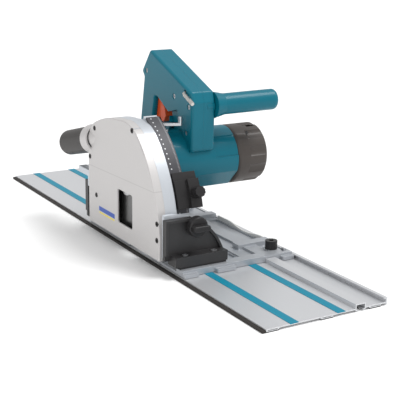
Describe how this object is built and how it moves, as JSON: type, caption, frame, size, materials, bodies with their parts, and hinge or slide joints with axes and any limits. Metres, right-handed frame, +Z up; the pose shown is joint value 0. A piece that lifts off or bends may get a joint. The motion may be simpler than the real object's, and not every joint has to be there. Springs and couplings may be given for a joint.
{
  "type": "track plunge saw",
  "caption": "Plunge-cut circular saw with a swinging motor unit in a tilting blade case, on a sliding base and an extruded aluminium guide rail.",
  "frame": {"origin": "middle of the guide rail's underside, on the plane its grip strips stand on", "axes": "+X cutting direction along the rail, +Y towards the motor, +Z up"},
  "size_m": [0.8, 0.2362, 0.269],
  "materials": {
    "rail_aluminium": "satin anodised extrusion",
    "guard_rubber": "matt",
    "glide_teal": "slick tape",
    "grip_foam": "matt foam",
    "cast_silver": "painted die casting",
    "trim_white": "satin",
    "bracket_black": "black painted casting",
    "zinc_steel": "bright zinc",
    "black_plastic": "fine texture",
    "cover_silver": "silver paint",
    "scale_black": "black anodised with white marks",
    "hose_black": "satin",
    "hard_steel": "ground",
    "bush_bronze": "sintered",
    "gear_grey": "raw die casting",
    "bearing_steel": "polished",
    "blade_steel": "ground with bright tips",
    "winding_steel": "laminations and enamelled wire",
    "fan_grey": "moulded",
    "teal_plastic": "fine texture",
    "cap_dark": "fine texture",
    "brush_brass": "drawn",
    "carbon": "matt",
    "orange_plastic": "satin",
    "soft_grip": "soft matt",
    "wrench_steel": "nickel plated"
  },
  "bodies": {
    "rail": {"guide_rail": "rail_aluminium", "splinter_guard": "guard_rubber", "glide_strips": "glide_teal", "grip_strips": "grip_foam"},
    "carriage": {"base_plate": "cast_silver", "edge_strip": "trim_white", "front_bevel_bracket": "bracket_black", "rear_bevel_bracket": "bracket_black", "bracket_screws": "zinc_steel", "bevel_studs": "zinc_steel"},
    "front_bevel_knob": {"front_bevel_knob": "black_plastic"},
    "rear_bevel_knob": {"rear_bevel_knob": "black_plastic"},
    "guide_adjuster_front": {"guide_adjuster_front": "black_plastic"},
    "guide_adjuster_rear": {"guide_adjuster_rear": "black_plastic"},
    "anti_tip_slider": {"anti_tip_slider": "zinc_steel"},
    "saw_head": {"blade_case": "cast_silver", "case_cover": "cover_silver", "cover_screws": "zinc_steel", "depth_scale": "scale_black", "front_trunnion": "cast_silver", "rear_trunnion": "cast_silver", "trunnion_screws": "zinc_steel", "pivot_shaft": "hard_steel", "return_spring": "hard_steel"},
    "dust_nozzle": {"dust_nozzle": "hose_black"},
    "depth_stop": {"depth_stop": "black_plastic"},
    "depth_stop_knob": {"depth_stop_knob": "black_plastic"},
    "motor_unit": {"gear_housing": "gear_grey", "bearing_bracket": "gear_grey", "pivot_bushes": "bush_bronze", "spindle_bearings": "bearing_steel", "armature_bearings": "bearing_steel", "motor_housing": "teal_plastic", "motor_end_cap": "cap_dark", "housing_screws": "zinc_steel", "stator": "winding_steel", "brush_holders": "brush_brass", "carbon_brushes": "carbon", "brush_caps": "black_plastic", "handle_shell_left": "teal_plastic", "handle_shell_right": "teal_plastic", "handle_screws": "zinc_steel", "grip_rubber": "soft_grip", "front_grip": "teal_plastic", "switch_body": "black_plastic", "cord_inlet": "guard_rubber", "lever_spring": "hard_steel"},
    "armature": {"armature_shaft": "hard_steel", "armature_core": "winding_steel", "cooling_fan": "fan_grey"},
    "blade_spindle": {"spindle": "hard_steel", "drive_gear": "hard_steel", "inner_flange": "hard_steel", "outer_flange": "hard_steel", "blade_bolt": "zinc_steel", "saw_blade": "blade_steel"},
    "trigger": {"trigger": "orange_plastic"},
    "lock_off_button": {"lock_off_button": "orange_plastic"},
    "shaft_lock_lever": {"shaft_lock_lever": "zinc_steel"},
    "hex_wrench": {"hex_wrench": "wrench_steel"}
  },
  "joints": [
    {"name": "rail_travel", "type": "slide", "parent": "rail", "child": "carriage", "axis": [1, 0, 0], "range_m": [-0.325, 0.185]},
    {"name": "bevel_tilt", "type": "hinge", "parent": "carriage", "child": "saw_head", "pos_m": [0.064, -0.095, 0], "axis": [1, 0, 0], "range_deg": [0, 48]},
    {"name": "plunge", "type": "hinge", "parent": "saw_head", "child": "motor_unit", "pos_m": [-0.01, -0.059, 0.037], "axis": [0, 1, 0], "range_deg": [0, 45], "stiffness_Nm_per_rad": 5, "springref_deg": -40.11},
    {"name": "blade_spin", "type": "hinge", "parent": "motor_unit", "child": "blade_spindle", "pos_m": [0.0634, -0.096, 0.10194], "axis": [0, 1, 0], "continuous": true},
    {"name": "armature_spin", "type": "hinge", "parent": "motor_unit", "child": "armature", "pos_m": [0.05013, 0.02, 0.12088], "axis": [0, 1, 0], "continuous": true},
    {"name": "trigger_pull", "type": "hinge", "parent": "motor_unit", "child": "trigger", "pos_m": [-0.024, 0.006, 0.204], "axis": [0, 1, 0], "range_deg": [0, 10], "stiffness_Nm_per_rad": 0.5, "springref_deg": -17.19},
    {"name": "lock_off_press", "type": "slide", "parent": "motor_unit", "child": "lock_off_button", "axis": [0.7944, 0, -0.6074], "range_m": [0, 0.003], "stiffness_N_per_m": 300, "springref_m": -0.003},
    {"name": "lock_lever_turn", "type": "hinge", "parent": "motor_unit", "child": "shaft_lock_lever", "pos_m": [0.063, -0.0467, 0.18], "axis": [0, 0, 1], "range_deg": [-10, 0], "stiffness_Nm_per_rad": 0.2, "springref_deg": 17.19},
    {"name": "wrench_pull", "type": "slide", "parent": "motor_unit", "child": "hex_wrench", "axis": [0, -1, 0], "range_m": [0, 0.015]},
    {"name": "front_bevel_knob_turn", "type": "hinge", "parent": "carriage", "child": "front_bevel_knob", "pos_m": [0.19, -0.06002, 0.06634], "axis": [1, 0, 0], "range_deg": [0, 360]},
    {"name": "rear_bevel_knob_turn", "type": "hinge", "parent": "carriage", "child": "rear_bevel_knob", "pos_m": [-0.062, -0.06002, 0.06634], "axis": [-1, 0, 0], "range_deg": [0, 360]},
    {"name": "front_adjuster_turn", "type": "hinge", "parent": "carriage", "child": "guide_adjuster_front", "pos_m": [0.184, 0.066, 0.015], "axis": [0, 0, 1], "range_deg": [0, 180]},
    {"name": "rear_adjuster_turn", "type": "hinge", "parent": "carriage", "child": "guide_adjuster_rear", "pos_m": [-0.052, 0.066, 0.015], "axis": [0, 0, 1], "range_deg": [0, 180]},
    {"name": "anti_tip_slide", "type": "slide", "parent": "carriage", "child": "anti_tip_slider", "axis": [0, 1, 0], "range_m": [0, 0.002]},
    {"name": "nozzle_swivel", "type": "hinge", "parent": "saw_head", "child": "dust_nozzle", "pos_m": [-0.0616, -0.09, 0.13765], "axis": [-0.9686, 0, -0.2487], "range_deg": [-90, 90]},
    {"name": "depth_stop_slide", "type": "hinge", "parent": "saw_head", "child": "depth_stop", "pos_m": [-0.01, -0.04735, 0.037], "axis": [0, -1, 0], "range_deg": [0, 24]},
    {"name": "depth_stop_knob_turn", "type": "hinge", "parent": "depth_stop", "child": "depth_stop_knob", "pos_m": [0.16696, -0.04735, 0.10422], "axis": [0.9348, 0, 0.3551], "range_deg": [0, 360]}
  ],
  "couplings": [
    {"joint": "armature_spin", "follows": "blade_spin", "ratio": -5.1667}
  ]
}
